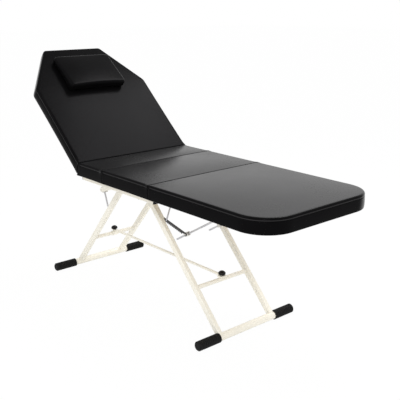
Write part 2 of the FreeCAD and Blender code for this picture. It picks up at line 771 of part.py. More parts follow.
def hanger_arms(name, top_x, foot, inner):
    """Flat bars hung from the seat boards on welded flanges, with a bored end for a bolt."""
    arms = []
    top = V(top_x, 0, underside - flange_thickness)
    for side in SIDES:
        y0, y1 = span(side, inner, inner + arm_thickness)
        arm = flat_bar(foot, top, arm_width, y0, y1)
        arm = arm.fuse(cross_rod(foot.x, foot.z, y0, y1, arm_width / 2))
        arm = arm.cut(box(top.x - flange_length, top.x + flange_length, y0, y1, top.z, seat_top))
        arm = arm.cut(cross_rod(foot.x, foot.z, y0, y1, rack_bolt_radius + pin_clearance))
        y0, y1 = span(side, inner, inner + flange_width)
        flange = box(top.x - flange_length / 2, top.x + flange_length / 2, y0, y1, top.z, underside)
        arms.append(arm.fuse(flange).removeSplitter())
    nodes[name] = Part.makeCompound(arms)


def rack_bars(start, guide):
    """Toothed bars that carry the strut guides, bolted to their hanger arms, with a thin hanger rod."""
    length = (guide - start).Length
    half = rack_width / 2
    pitch = (length - 2 * arm_width) / rack_teeth
    racks, bolts, hangers = [], [], []
    outline = [V(0, 0, half), V(length, 0, half), V(length, 0, -half + rack_tooth_depth),
               V(length - arm_width, 0, -half + rack_tooth_depth)]
    for tooth in range(rack_teeth):
        x = length - arm_width - pitch * tooth
        outline.append(V(x, 0, -half))
        outline.append(V(x - pitch, 0, -half + rack_tooth_depth))
    outline += [V(arm_width, 0, -half), V(0, 0, -half)]
    for side in SIDES:
        y0, y1 = span(side, arm_y, arm_y + rack_thickness)
        plate = Part.Face(Part.makePolygon(outline + outline[:1])).extrude(ACROSS * rack_thickness)
        plate.translate(V(0, y0, 0))
        plate = lay_along(plate, start, guide)
        plate = plate.fuse(cross_rod(start.x, start.z, y0, y1, half))
        plate = plate.fuse(cross_rod(guide.x, guide.z, y0, y1, half))
        plate = plate.cut(cross_rod(guide.x, guide.z, y0, y1, guide_pin_radius + pin_clearance))
        plate = plate.cut(cross_rod(start.x, start.z, y0, y1, rack_bolt_radius + pin_clearance))
        racks.append(plate.removeSplitter())
        y0, y1 = span(side, arm_y, arm_y + rack_thickness + arm_thickness)
        bolt = cross_rod(start.x, start.z, y0, y1, rack_bolt_radius)
        for a, b in ((y0 - rack_bolt_head, y0), (y1, y1 + rack_bolt_head)):
            bolt = bolt.fuse(cross_rod(start.x, start.z, a, b, rack_bolt_head_radius))
        bolts.append(bolt.removeSplitter())
        y = side * (arm_y + rack_thickness / 2)
        lower = start + (guide - start).normalize() * arm_width
        hanger = rod(V(lower.x, y, lower.z), V(hanger_top_x, y, underside), hanger_radius)
        flange = box(hanger_top_x - flange_width / 2, hanger_top_x + flange_width / 2,
                     y - flange_width / 2, y + flange_width / 2, underside - flange_thickness, underside)
        hanger = hanger.cut(box(0, foot_end, -half_width, half_width, underside, seat_top))
        hangers.append(hanger.fuse(flange).cut(racks[-1]).removeSplitter())
    nodes["strut_rack_bars"] = Part.makeCompound(racks)
    nodes["strut_rack_bolts"] = Part.makeCompound(bolts)
    nodes["strut_hanger_rods"] = Part.makeCompound(hangers)


# The whole table

head_pivot = V(head_pivot_x, 0, leg_pivot_z)
foot_pivot = V(foot_pivot_x, 0, leg_pivot_z)
head_foot = V(head_foot_x, 0, foot_z)
foot_foot = V(foot_foot_x, 0, foot_z)
head_mid = on_rail(head_pivot, head_foot, mid_bar_height)
foot_mid = on_rail(foot_pivot, foot_foot, mid_bar_height)
stay_clip_flat = V(back_hinge.x - backrest_clip_reach, 0, backrest_underside - clip_drop)
lean = FreeCAD.Placement(V(0, 0, 0), FreeCAD.Rotation(ACROSS, backrest_angle), back_hinge)
stay_pivot = lean.multVec(stay_clip_flat)
stay_guide = V(backrest_guide_x, 0, underside - backrest_guide_drop)
strut_pivot = V(leg_hinge.x + legrest_clip_reach, 0, underside - clip_drop)
strut_guide = V(legrest_guide_x, 0, underside - legrest_guide_drop)
rack_start = V(rack_start_x, 0, underside - rack_start_drop)

seat_pads()
legrest_pad()
backrest_pad()
pillow()
seat_frame()
butt_hinges("backrest", back_hinge, -1, True)
butt_hinges("legrest", leg_hinge, 1, False)
leg_frame("head", head_pivot, head_foot, head_rail_spread, arm_thickness + leg_pin_tail)
leg_frame("foot", foot_pivot, foot_foot, foot_rail_spread, leg_pin_tail)
tie_rod(head_mid, foot_mid)
stay_set("backrest_stay", stay_pivot, stay_guide, stay_tail, stay_offset,
         stay_guide_length, stay_guide_height, stay_play, head_cheek)
stay_clips("backrest_stay", stay_clip_flat, backrest_underside, True)
stay_set("legrest_strut", strut_pivot, strut_guide, strut_tail, strut_offset,
         strut_guide_length, strut_guide_height, strut_play, arm_y + arm_thickness)
stay_clips("legrest_strut", strut_pivot, underside, False)
pivot_arms("backrest_stay_arms", stay_guide, head_pivot, head_cheek)
hanger_arms("strut_hanger_arms", strut_arm_top_x, rack_start, arm_y + rack_thickness)
rack_bars(rack_start, strut_guide)

whole = Part.makeCompound(list(nodes.values())).optimalBoundingBox(False, False)
origin_shift = V(-(whole.XMin + whole.XMax) / 2, 0, -whole.ZMin)
os.makedirs("parts", exist_ok=True)
for node, shape in nodes.items():
    shape.translate(origin_shift)
    shape.exportStep("parts/" + node + ".step")
print("nodes", len(nodes), "shift", origin_shift, "box", whole)
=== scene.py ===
import json
import math

import bmesh
import bpy
import numpy as np
from mathutils import Matrix, Vector


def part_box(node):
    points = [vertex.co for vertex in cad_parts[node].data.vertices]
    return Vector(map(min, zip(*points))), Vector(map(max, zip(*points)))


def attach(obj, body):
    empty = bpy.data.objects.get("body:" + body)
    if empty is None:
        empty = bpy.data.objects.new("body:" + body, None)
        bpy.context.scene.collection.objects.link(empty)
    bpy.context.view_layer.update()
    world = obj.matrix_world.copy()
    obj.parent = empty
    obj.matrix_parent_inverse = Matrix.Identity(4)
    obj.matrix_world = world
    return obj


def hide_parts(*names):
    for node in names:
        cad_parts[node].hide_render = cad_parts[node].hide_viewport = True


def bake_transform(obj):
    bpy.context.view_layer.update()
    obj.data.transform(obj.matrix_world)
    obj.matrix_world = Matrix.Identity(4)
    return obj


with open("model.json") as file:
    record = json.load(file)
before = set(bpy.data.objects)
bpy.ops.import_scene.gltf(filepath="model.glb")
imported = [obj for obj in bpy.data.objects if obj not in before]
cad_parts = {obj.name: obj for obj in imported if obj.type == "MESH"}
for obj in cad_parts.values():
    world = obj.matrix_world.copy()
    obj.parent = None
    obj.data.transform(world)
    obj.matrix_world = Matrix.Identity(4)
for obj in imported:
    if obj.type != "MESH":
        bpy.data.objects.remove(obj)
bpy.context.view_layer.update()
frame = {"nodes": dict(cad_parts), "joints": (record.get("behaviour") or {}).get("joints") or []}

# Seat frame and leg frames: square and round steel tube, cut, welded and dipped in one warm white
# powder coat. The coat is a little uneven, as melted powder is, and greyer where it was handled.
PAINT = (0.89, 0.862, 0.775)
PAINT_HANDLED = (0.85, 0.82, 0.72)
NOISE_LOW = 0.3
NOISE_HIGH = 0.7
MIX_COLOUR = 6
MIX_OTHER = 7
MIX_RESULT = 2


def place(tree, kind, **values):
    """A node in a tree. A value whose name is an input sets that socket, another sets a property."""
    node = tree.nodes.new(kind)
    for name, value in values.items():
        socket = node.inputs.get(name.replace("_", " "))
        if socket is None:
            setattr(node, name, value)
        elif isinstance(value, bpy.types.NodeSocket):
            tree.links.new(value, socket)
        elif socket.type == "RGBA":
            socket.default_value = (*value, 1.0)
        else:
            socket.default_value = value
    return node


def new_group(name, inputs, outputs):
    """An empty shader node group with float inputs and the named outputs, and its two end nodes."""
    tree = bpy.data.node_groups.new(name, "ShaderNodeTree")
    for socket, default in inputs.items():
        made = tree.interface.new_socket(socket, in_out="INPUT", socket_type="NodeSocketFloat")
        made.default_value = default
    for socket, kind in outputs.items():
        tree.interface.new_socket(socket, in_out="OUTPUT", socket_type=kind)
    return tree, tree.nodes.new("NodeGroupInput"), tree.nodes.new("NodeGroupOutput")


def cloudy_surface():
    """Fine bumps for a cast, sprayed or moulded surface, and a broad mottle from 0 to 1."""
    tree, given, out = new_group(
        "cloudy_surface",
        {"Bump scale": 900.0, "Bump depth": 0.0001, "Mottle scale": 12.0},
        {"Normal": "NodeSocketVector", "Mottle": "NodeSocketFloat"})
    where = place(tree, "ShaderNodeTexCoord").outputs["Object"]
    fine = place(tree, "ShaderNodeTexNoise", Vector=where, Scale=given.outputs["Bump scale"], Detail=3.0)
    broad = place(tree, "ShaderNodeTexNoise", Vector=where, Scale=given.outputs["Mottle scale"], Detail=5.0)
    bump = place(tree, "ShaderNodeBump", Height=fine.outputs["Fac"], Distance=given.outputs["Bump depth"])
    spread = place(tree, "ShaderNodeMapRange", Value=broad.outputs["Fac"],
                   From_Min=NOISE_LOW, From_Max=NOISE_HIGH)
    tree.links.new(bump.outputs["Normal"], out.inputs["Normal"])
    tree.links.new(spread.outputs["Result"], out.inputs["Mottle"])
    return tree


CLOUDY = cloudy_surface()


def new_material(name):
    """A material with a bare Principled shader, its tree and that shader."""
    material = bpy.data.materials.new(name)
    material.use_nodes = True
    return material, material.node_tree, material.node_tree.nodes["Principled BSDF"]


def two_tone(tree, share, colour, other):
    """A colour that runs from one colour to the other as share runs from 0 to 1."""
    mix = place(tree, "ShaderNodeMix", data_type="RGBA", Factor=share)
    mix.inputs[MIX_COLOUR].default_value = (*colour, 1.0)
    mix.inputs[MIX_OTHER].default_value = (*other, 1.0)
    return mix.outputs[MIX_RESULT]


def cloudy_material(name, colour, other, rough, bump, mottle, metallic=0.0, specular=0.5):
    """A plain finish: colour drifts to the other colour, and roughness across its range, with the mottle.

    bump gives the scale and the depth of the fine bumps, and mottle the scale of the drift.
    """
    material, tree, shader = new_material(name)
    clouds = place(tree, "ShaderNodeGroup", node_tree=CLOUDY, Bump_scale=bump[0], Bump_depth=bump[1],
                   Mottle_scale=mottle)
    drift = clouds.outputs["Mottle"]
    gloss = place(tree, "ShaderNodeMapRange", Value=drift, To_Min=rough[0], To_Max=rough[1])
    tree.links.new(two_tone(tree, drift, colour, other), shader.inputs["Base Color"])
    tree.links.new(gloss.outputs["Result"], shader.inputs["Roughness"])
    tree.links.new(clouds.outputs["Normal"], shader.inputs["Normal"])
    shader.inputs["Metallic"].default_value = metallic
    shader.inputs["Specular IOR Level"].default_value = specular
    return material


def coat(material, *names):
    """Gives CAD nodes their finish."""
    for name in names:
        node = frame["nodes"][name]
        node.data.materials.clear()
        node.data.materials.append(material)


powder_coat = cloudy_material("powder_coat", PAINT, PAINT_HANDLED, rough=(0.36, 0.46),
                              bump=(700.0, 0.00004), mottle=9.0)
coat(powder_coat, "seat_side_rails", "seat_cross_tubes", "head_leg_brackets", "foot_leg_brackets",
     "head_leg_rails", "foot_leg_rails", "head_mid_bar", "foot_mid_bar", "head_foot_bar", "foot_foot_bar",
     "backrest_stay_arms", "strut_hanger_arms", "tie_rod", "tie_rod_saddle", "tie_rod_tab")

# Foot sleeves: black rubber, moulded with raised ribs and pushed over the ends of the foot bars.
# They stand on the floor, so they are matt and a little dusty.
RUBBER = (0.0042, 0.0042, 0.0044)
RUBBER_DUSTY = (0.0080, 0.0078, 0.0076)
foot_rubber = cloudy_material("foot_rubber", RUBBER, RUBBER_DUSTY, rough=(0.55, 0.72),
                              bump=(1600.0, 0.00015), mottle=30.0, specular=0.14)
coat(foot_rubber, "head_foot_sleeves", "foot_foot_sleeves")

# Knobs and tube plugs: black plastic, moulded with a satin spark-eroded skin. The knobs turn on studs
# in the tie rod, and the plugs are pushed into the open ends of the side rails.
PLASTIC = (0.0028, 0.0028, 0.0029)
PLASTIC_RUBBED = (0.0055, 0.0055, 0.0056)
moulded_plastic = cloudy_material("moulded_plastic", PLASTIC, PLASTIC_RUBBED, rough=(0.38, 0.52),
                                  bump=(2200.0, 0.00006), mottle=40.0, specular=0.22)
coat(moulded_plastic, "head_knob", "foot_knob", "rail_end_plugs")

# Leg bushes: short sleeves of natural nylon, turned on a lathe and pressed into the leg rails, where
# the pivot pins run in them.
NYLON = (0.72, 0.69, 0.62)
NYLON_WORN = (0.60, 0.57, 0.50)
nylon = cloudy_material("nylon", NYLON, NYLON_WORN, rough=(0.40, 0.55), bump=(1500.0, 0.00004), mottle=60.0)
coat(nylon, "head_leg_bushes", "foot_leg_bushes")

# Hinges, stays, struts, clips, pins and screws: drawn rod and pressed sheet of mild steel, under a
# bright zinc plate that dulls in patches. They are bolted to the frame or screwed to the boards.
ZINC = (0.62, 0.62, 0.64)
ZINC_DULL = (0.50, 0.50, 0.52)
zinc_plate = cloudy_material("zinc_plate", ZINC, ZINC_DULL, rough=(0.26, 0.42),
                             bump=(1200.0, 0.00003), mottle=50.0, metallic=1.0)
coat(zinc_plate, "backrest_hinge_fixed_leaves", "backrest_hinge_swing_leaves", "backrest_hinge_pins",
     "legrest_hinge_fixed_leaves", "legrest_hinge_swing_leaves", "legrest_hinge_pins",
     "backrest_stays", "backrest_stay_pins", "backrest_stay_clips",
     "legrest_struts", "legrest_strut_pins", "legrest_strut_clips",
     "strut_hanger_rods", "strut_rack_bolts", "board_screws", "head_leg_pivot_pins",
     "foot_leg_pivot_pins", "head_knob_stud", "foot_knob_stud")

# Strut racks and guides: the toothed bars are cut from flat steel, phosphated dark and bolted to the
# hanger arms. The guide blocks are zinc castings in pale lacquer, and the rods slide through them.
RACK = (0.070, 0.070, 0.074)
RACK_WORN = (0.120, 0.120, 0.125)
CASTING = (0.74, 0.73, 0.69)
CASTING_DULL = (0.66, 0.65, 0.62)
rack_steel = cloudy_material("rack_steel", RACK, RACK_WORN, rough=(0.42, 0.60),
                             bump=(1400.0, 0.00005), mottle=70.0, metallic=0.8)
zinc_casting = cloudy_material("zinc_casting", CASTING, CASTING_DULL, rough=(0.40, 0.55),
                               bump=(1100.0, 0.00008), mottle=60.0)
coat(rack_steel, "strut_rack_bars")
coat(zinc_casting, "backrest_stay_guides", "legrest_strut_guides")

# Boards: raw plywood, sawn to the plan of each pad and let into its underside, with pale and dark
# plies along the edges. The batten is a strip of the same that packs out the thinner backrest.
PLY_PALE = (0.52, 0.43, 0.31)
PLY_DARK = (0.40, 0.32, 0.22)
PLY_STRETCH = (3.0, 40.0, 400.0)
PLY_DARK_AT = 0.32
PLY_PALE_AT = 0.62
PLY_RELIEF = 0.0003
PLY_ROUGH = 0.7


def plywood():
    """Long soft streaks from noise that is stretched along the table, with thin layers across the board."""
    material, tree, shader = new_material("plywood")
    where = place(tree, "ShaderNodeTexCoord").outputs["Object"]
    stretch = place(tree, "ShaderNodeMapping", Vector=where, Scale=PLY_STRETCH)
    streaks = place(tree, "ShaderNodeTexNoise", Vector=stretch.outputs["Vector"], Scale=1.0, Detail=6.0,
                    Distortion=0.6)
    tone = place(tree, "ShaderNodeValToRGB", Fac=streaks.outputs["Fac"])
    dark, pale = tone.color_ramp.elements
    dark.color = (*PLY_DARK, 1.0)
    dark.position = PLY_DARK_AT
    pale.color = (*PLY_PALE, 1.0)
    pale.position = PLY_PALE_AT
    bump = place(tree, "ShaderNodeBump", Height=streaks.outputs["Fac"], Distance=PLY_RELIEF)
    tree.links.new(tone.outputs["Color"], shader.inputs["Base Color"])
    tree.links.new(bump.outputs["Normal"], shader.inputs["Normal"])
    shader.inputs["Roughness"].default_value = PLY_ROUGH
    return material


coat(plywood(), "seat_board_rear", "seat_board_front", "legrest_board", "backrest_board", "hinge_batten")

# Seat pads: blocks of firm foam glued to their boards, in covers of black leatherette. The top panel
# turns down over a soft shoulder and is sewn to the side panel there, in a fine sunk seam all round.
# A thin band just above the seam is painted in a paler leatherette, as a painted highlight along the edge.
HIDE = (0.0026, 0.0025, 0.0027)
HIDE_WORN = (0.0038, 0.0037, 0.0039)
# The next two colours are a paler leatherette painted on the band above the seam: a painted highlight, not
# wear.
PAINTED_HIGHLIGHT = (0.020, 0.0194, 0.0198)
PAINTED_HIGHLIGHT_PALER = (0.028, 0.027, 0.0275)
HIDE_ROUGH = (0.23, 0.28)
HIDE_SHINE = (0.97, 0.94, 1.0)
HIDE_SHINE_FACING = 0.022
HIDE_SHINE_GLANCING = 0.21
HIDE_TURN = (0.50, 0.82)
HIDE_DRIFT = 5.0
GRAIN_SCALE = 620.0
GRAIN_DEPTH = 0.00006
GRAIN_BEND = 0.002
GRAIN_BEND_SCALE = 180.0


def hide_grain():
    """Pebbles of an embossed cover: round cells with creases between them, and a slow drift from 0 to 1."""
    tree, given, out = new_group(
        "hide_grain",
        {"Cell scale": 600.0, "Depth": 0.0002, "Drift scale": 5.0},
        {"Normal": "NodeSocketVector", "Drift": "NodeSocketFloat"})
    where = place(tree, "ShaderNodeTexCoord").outputs["Object"]
    bend = place(tree, "ShaderNodeTexNoise", Vector=where, Scale=GRAIN_BEND_SCALE, Detail=2.0)
    shift = place(tree, "ShaderNodeVectorMath", operation="MULTIPLY_ADD")
    tree.links.new(bend.outputs["Color"], shift.inputs[0])
    shift.inputs[1].default_value = (GRAIN_BEND, GRAIN_BEND, GRAIN_BEND)
    tree.links.new(where, shift.inputs[2])
    cells = place(tree, "ShaderNodeTexVoronoi", feature="SMOOTH_F1", Vector=shift.outputs["Vector"],
                  Scale=given.outputs["Cell scale"], Smoothness=0.6)
    bump = place(tree, "ShaderNodeBump", invert=True, Height=cells.outputs["Distance"],
                 Distance=given.outputs["Depth"])
    drift = place(tree, "ShaderNodeTexNoise", Vector=where, Scale=given.outputs["Drift scale"], Detail=4.0)
    spread = place(tree, "ShaderNodeMapRange", Value=drift.outputs["Fac"],
                   From_Min=NOISE_LOW, From_Max=NOISE_HIGH)
    tree.links.new(bump.outputs["Normal"], out.inputs["Normal"])
    tree.links.new(spread.outputs["Result"], out.inputs["Drift"])
    return tree


GRAIN = hide_grain()


def leatherette(name, fresh_or_highlight, worn_or_highlight):
    """Embossed vinyl in two colours, black for the cover or paler for the painted highlight, with a low sheen
    that grows at a glancing angle.
    """
    material, tree, shader = new_material(name)
    grain = place(tree, "ShaderNodeGroup", node_tree=GRAIN, Cell_scale=GRAIN_SCALE, Depth=GRAIN_DEPTH,
                  Drift_scale=HIDE_DRIFT)
    drift = grain.outputs["Drift"]
    gloss = place(tree, "ShaderNodeMapRange", Value=drift, To_Min=HIDE_ROUGH[0], To_Max=HIDE_ROUGH[1])
    tree.links.new(two_tone(tree, drift, fresh_or_highlight, worn_or_highlight), shader.inputs["Base Color"])
    tree.links.new(gloss.outputs["Result"], shader.inputs["Roughness"])
    tree.links.new(grain.outputs["Normal"], shader.inputs["Normal"])
    turned = place(tree, "ShaderNodeLayerWeight", Blend=0.5)
    shine = place(tree, "ShaderNodeMapRange", interpolation_type="SMOOTHSTEP", Value=turned.outputs["Facing"],
                  From_Min=HIDE_TURN[0], From_Max=HIDE_TURN[1],
                  To_Min=HIDE_SHINE_FACING, To_Max=HIDE_SHINE_GLANCING)
    shader.inputs["Specular IOR Level"].default_value = HIDE_SHINE_GLANCING / 2
    tree.links.new(shine.outputs["Result"], shader.inputs["Specular IOR Level"])
    shader.inputs["Specular Tint"].default_value = (*HIDE_SHINE, 1.0)
    return material


LEATHERETTE = leatherette("leatherette", HIDE, HIDE_WORN)
# The second cover material is the painted highlight on the band just above the seam.
PAINTED_HIGHLIGHT_COVER = leatherette("painted_highlight_leatherette", PAINTED_HIGHLIGHT, PAINTED_HIGHLIGHT_PALER)
OUTLINE_STEP = 0.010
ARC_POINTS = 7
RUN_POINTS = 3
EDGE_ROLL = 0.010
JOINT_ROLL = 0.004
JOINT_TIGHT = 0.003
JOINT_FADE = 0.014
SEAM_DEPTH = 0.0024
SEAM_WIDTH = 0.0015
SEAM_STRIP = 0.007
# Where the painted highlight band lies: its share of the seam strip, the joint value it stops at, and its
# turn round the shoulder.
HIGHLIGHT_FROM = 0.8
HIGHLIGHT_JOINT = 0.9
HIGHLIGHT_TURN = math.radians(20)
SIDE_TUCK = 0.0008
FOOT_TUCK = 0.001
FOOT_ROUND = 0.0025
POCKET_INSET = 0.0084
POCKET_LIP = 0.001
BOARD_CLEAR = 0.0004
CROWN = 0.005
WAIST = 0.0015
SIDE_RINGS = 8
SEAM_RINGS = 9
TOP_RINGS = 24
PUFF_PRESSURE = 4.0
PUFF_FRAMES = 20
MERGE_WITHIN = 0.00002


def rounded_loop(corners, radii):
    """Plan outline, anticlockwise: straight runs between corners that are arcs of the given radii.

    An arc's centre lies on the line that halves its corner, at its radius over the sine of that half angle.
    """
    corners = np.asarray(corners, float)
    radii = np.asarray(radii, float)
    back = np.roll(corners, 1, axis=0) - corners
    ahead = np.roll(corners, -1, axis=0) - corners
    back /= np.linalg.norm(back, axis=1, keepdims=True)
    ahead /= np.linalg.norm(ahead, axis=1, keepdims=True)
    half = np.arccos((back * ahead).sum(1)) / 2
    trim = radii / np.tan(half)
    middle = back + ahead
    middle /= np.linalg.norm(middle, axis=1, keepdims=True)
    centres = corners + middle * (radii / np.sin(half))[:, None]
    starts = corners + back * trim[:, None]
    ends = corners + ahead * trim[:, None]
    stretches = []
    for i in range(len(corners)):
        turn = math.pi - 2 * half[i]
        first = math.atan2(*(starts[i] - centres[i])[::-1])
        count = max(ARC_POINTS, round(radii[i] * turn / OUTLINE_STEP) + 1)
        angle = first + np.linspace(0, turn, count)
        stretches.append(centres[i] + radii[i] * np.column_stack([np.cos(angle), np.sin(angle)]))
        onward = starts[(i + 1) % len(corners)]
        count = max(RUN_POINTS, round(np.linalg.norm(onward - ends[i]) / OUTLINE_STEP) + 1)
        stretches.append(np.linspace(ends[i], onward, count)[1:-1])
    return np.concatenate(stretches)


def inward_of(loop):
    """Unit normals of an anticlockwise outline, pointing in: the run past each point, turned to the left."""
    along = np.roll(loop, -1, axis=0) - np.roll(loop, 1, axis=0)
    along /= np.linalg.norm(along, axis=1, keepdims=True)
    return np.column_stack([-along[:, 1], along[:, 0]])


def nearest_on(spine, loop):
    """For each outline point, the nearest point of the spine, a straight line along a pad's middle."""
    start, end = np.asarray(spine, float)
    run = end - start
    share = np.clip(((loop - start) @ run) / (run @ run), 0, 1)
    return start + share[:, None] * run


def pad_rings(loop, spine, low, high, joint, pocket):
    """Rings of a pad's skin, from the middle of the underside, out and up the side, to the middle of the top.

    Each ring is the outline moved in by an inset and drawn towards the spine, at a height. joint is 1 at an
    end that meets another pad, where the edge is tight and has no seam. Returns the points, which are held,
    and which carry the painted highlight on the band just above the seam.
    """
    inward = inward_of(loop)
    heart = nearest_on(spine, loop)
    roll = EDGE_ROLL + (JOINT_ROLL - EDGE_ROLL) * joint
    tuck = SIDE_TUCK * (1 - joint)
    foot = FOOT_TUCK * (1 - joint)
    flat = np.ones(len(loop))
    rings = []
    held = []
    highlight_band = []

    def ring(inset, pull, height, hold, highlit=False):
        """One ring: points are (outline + inset inwards) * (1 - pull) + spine * pull."""
        plan = (loop + inward * np.broadcast_to(inset, flat.shape)[:, None]) * (1 - pull) + heart * pull
        rings.append(np.column_stack([plan, height * flat]))
        held.append(np.full(len(loop), hold))
        highlight_band.append((joint < HIGHLIGHT_JOINT) & highlit)

    for pull in (1.0, 0.5, 0.0):
        ring(POCKET_INSET, pull, low + pocket, 1.0)
    ring(POCKET_INSET, 0.0, low + BOARD_CLEAR, 1.0)
    ring(POCKET_INSET - POCKET_LIP, 0.0, low, 1.0)
    for turn in np.radians((0, 30, 60, 90)):
        ring(foot + FOOT_ROUND * (1 - np.sin(turn)), 0.0, low + FOOT_ROUND * (1 - np.cos(turn)), 1.0)
    side_low = low + FOOT_ROUND
    side_high = high - roll - SEAM_STRIP
    for share in np.linspace(0, 1, SIDE_RINGS)[1:-1]:
        bow = 4 * share * (1 - share)
        inset = (foot * (1 - share) + tuck * share) * (1 - bow)
        ring(inset, 0.0, side_low + (side_high - side_low) * share, 0.0)
    for step in np.linspace(0, 1, SEAM_RINGS)[:-1]:
        above = SEAM_STRIP * step
        dip = SEAM_DEPTH * np.exp(-((above - SEAM_STRIP / 2) / SEAM_WIDTH) ** 2) * (1 - joint)
        ring(tuck + dip, 0.0, side_high + above, 1.0 if step == 0.5 else 0.0, step > HIGHLIGHT_FROM)
    for turn in np.radians((0, 15, 30, 45, 60, 75, 90)):
        inset = tuck + roll * (1 - np.cos(turn))
        ring(inset, 0.0, high - roll + roll * np.sin(turn), 0.0, turn < HIGHLIGHT_TURN)
    for pull in np.linspace(0, 1, TOP_RINGS)[1:]:
        ring(tuck + roll, pull, high, 0.0)
    return np.array(rings), np.array(held), np.array(highlight_band)


def raise_crown(rings, start, end, half, low, high, most):
    """Swells the top of a pad by most at its middle, falling smoothly to nothing at its ends and sides.

    The swell is (1 - u^2)(1 - v^2), with u along the pad and v across it, and fades down the side with
    the cube of the height.
    """
    along = np.clip((2 * rings[..., 0] - start - end) / (end - start), -1, 1)
    across = np.clip(rings[..., 1] / half, -1, 1)
    share = np.clip((rings[..., 2] - low) / (high - low), 0, 1) ** 3
    rings[..., 2] += most * (1 - along ** 2) * (1 - across ** 2) * share


def draw_in(rings, start, end, half):
    """Draws a pad's long sides in between its ends, by the waist times (1 - u^2) times v^4."""
    along = (2 * rings[..., 0] - start - end) / (end - start)
    pull = WAIST * np.clip(1 - along ** 2, 0, 1) * (np.abs(rings[..., 1]) / half) ** 4
    rings[..., 1] -= np.sign(rings[..., 1]) * pull


def tight_near(loop, end):
    """1 at an end across the table that meets another pad, falling evenly to 0 along the sides."""
    return np.clip((JOINT_TIGHT + JOINT_FADE - np.abs(loop[:, 0] - end)) / JOINT_FADE, 0, 1)


def skin(name, rings):
    """A closed mesh of quads between neighbouring rings, from the first ring to the last."""
    count, around = rings.shape[:2]
    ids = np.arange(count * around).reshape(count, around)
    onward = np.roll(ids, -1, axis=1)
    quads = np.stack([ids[:-1], onward[:-1], onward[1:], ids[1:]], axis=-1).reshape(-1, 4)
    mesh = bpy.data.meshes.new(name)
    mesh.from_pydata(rings.reshape(-1, 3).tolist(), [], quads.tolist())
    mesh.shade_smooth()
    piece = bpy.data.objects.new(name, mesh)
    bpy.context.scene.collection.objects.link(piece)
    return piece


def points_of(mesh):
    """A mesh's points as an array, with one row for each."""
    flat = np.empty(len(mesh.vertices) * 3, np.float32)
    mesh.vertices.foreach_get("co", flat)
    return flat.reshape(-1, 3).astype(float)


def puff(piece, held, most):
    """Blows a cover up like foam under it: cloth under pressure, held at its seams and underside.

    A point that the cloth would move by d moves by d * most / (d + most), so never by more than most.
    """
    rest = points_of(piece.data)
    group = piece.vertex_groups.new(name="held")
    group.add(np.flatnonzero(held > 0).tolist(), 1.0, "REPLACE")
    cloth = piece.modifiers.new("foam", "CLOTH")
    cloth.settings.vertex_group_mass = "held"
    cloth.settings.use_pressure = True
    cloth.settings.uniform_pressure_force = PUFF_PRESSURE
    cloth.settings.effector_weights.gravity = 0.0
    cloth.point_cache.frame_end = PUFF_FRAMES
    scene = bpy.context.scene
    for step in range(1, PUFF_FRAMES + 1):
        scene.frame_set(step)
    blown = piece.evaluated_get(bpy.context.evaluated_depsgraph_get())
    moved = points_of(blown.data) - rest
    piece.modifiers.remove(cloth)
    piece.vertex_groups.remove(group)
    scene.frame_set(1)
    far = np.linalg.norm(moved, axis=1, keepdims=True)
    settled = rest + moved * most / (far + most)
    piece.data.vertices.foreach_set("co", settled.astype(np.float32).ravel())
    piece.data.update()


def close_up(piece):
    """Merges the doubled points along a spine, turns faces outwards and adds one smooth subdivision."""
    form = bmesh.new()
    form.from_mesh(piece.data)
    bmesh.ops.remove_doubles(form, verts=form.verts, dist=MERGE_WITHIN)
    bmesh.ops.recalc_face_normals(form, faces=form.faces)
    form.to_mesh(piece.data)
    form.free()
    piece.data.shade_smooth()
    finer = piece.modifiers.new("finer", "SUBSURF")
    finer.levels = 1
    finer.render_levels = 1


def upholster(piece, fill, *nodes):
    """The cover's material and what the piece stands for."""
    piece.data.materials.append(LEATHERETTE)
    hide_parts(*nodes)


FOAM_FILL = 0.9
SHORT_PUFF = 0.003
LONG_PUFF = 0.004
PAD_GAP = 0.0004
PAD_CORNER = 0.003
END_LEAN = 0.080
joints = {joint["name"]: joint for joint in frame["joints"]}
back_hinge = Vector(joints["backrest_tilt"]["pos_m"])
leg_hinge = Vector(joints["legrest_tilt"]["pos_m"])
recline = math.radians(-joints["backrest_tilt"]["range_deg"][0])
board_low, board_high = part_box("seat_board_rear")
pad_low = board_low.z
board_depth = board_high.z - board_low.z + BOARD_CLEAR
half_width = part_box("seat_pad_rear")[1].y
pad_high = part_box("seat_pad_rear")[1].z - CROWN
lean_slope = math.tan(recline / 2)
crease = back_hinge.x + (pad_high - back_hinge.z) * lean_slope
line_two = (board_high.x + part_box("seat_board_front")[0].x) / 2


def flat_pad(start, end, joints_at, far_radius, spine):
    """A pad lying flat between two places along the table, with the ends named in joints_at held tight."""
    corners = [(start, -half_width), (end, -half_width), (end, half_width), (start, half_width)]
    radii = [PAD_CORNER, far_radius, far_radius, PAD_CORNER]
    loop = rounded_loop(corners, radii)
    joint = np.zeros(len(loop))
    for place_at in joints_at:
        joint = np.maximum(joint, tight_near(loop, place_at))
    rings, held, highlight_band = pad_rings(loop, spine, pad_low, pad_high, joint, board_depth)
    draw_in(rings, start, end, half_width)
    raise_crown(rings, start, end, half_width, pad_low, pad_high, CROWN)
    return rings, held, highlight_band


def across_spine(start, end):
    """A spine across the table for a pad wider than it is long. It stops half that length from each side."""
    reach = half_width - (end - start) / 2
    middle = (start + end) / 2
    return (middle, -reach), (middle, reach)


